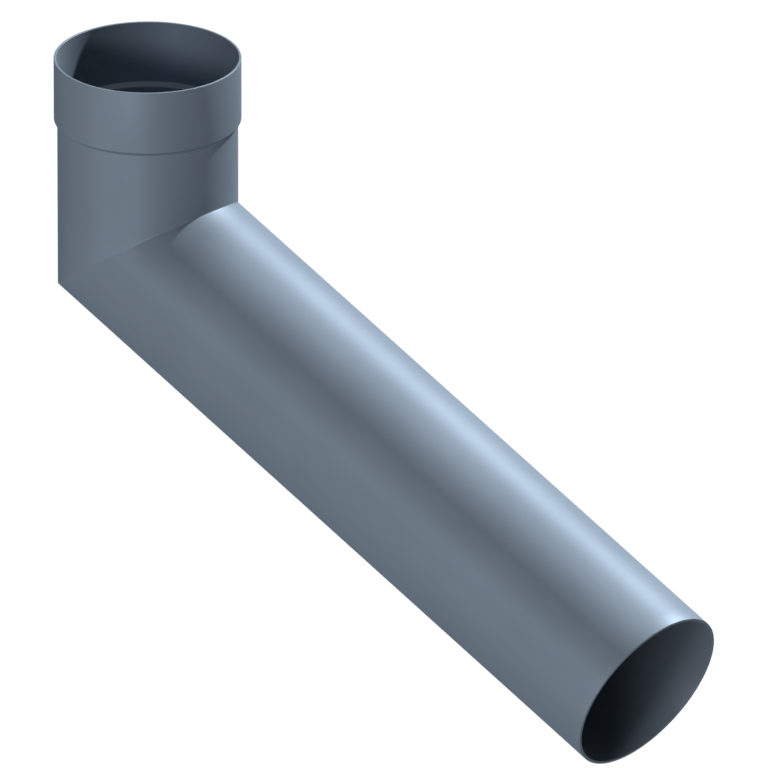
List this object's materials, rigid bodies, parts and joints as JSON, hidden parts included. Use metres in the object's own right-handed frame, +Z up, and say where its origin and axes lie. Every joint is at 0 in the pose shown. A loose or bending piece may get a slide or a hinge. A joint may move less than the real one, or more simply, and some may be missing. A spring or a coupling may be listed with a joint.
{
  "type": "long tail downpipe elbow",
  "caption": "Round metal downpipe elbow: a short upright leg with a swaged socket, mitred to a long plain tail that runs down and outward to enter the next pipe.",
  "frame": {"origin": "centre of the socket's mouth", "axes": "+Z up out of the socket along its axis, +X the way the tail heads, +Y across both legs"},
  "size_m": [0.4564, 0.1054, 0.319],
  "materials": {
    "coated_metal": "satin blue-grey powder coat, inside and out"
  },
  "bodies": {
    "root": {"downpipe_elbow": "coated_metal"}
  },
  "joints": []
}
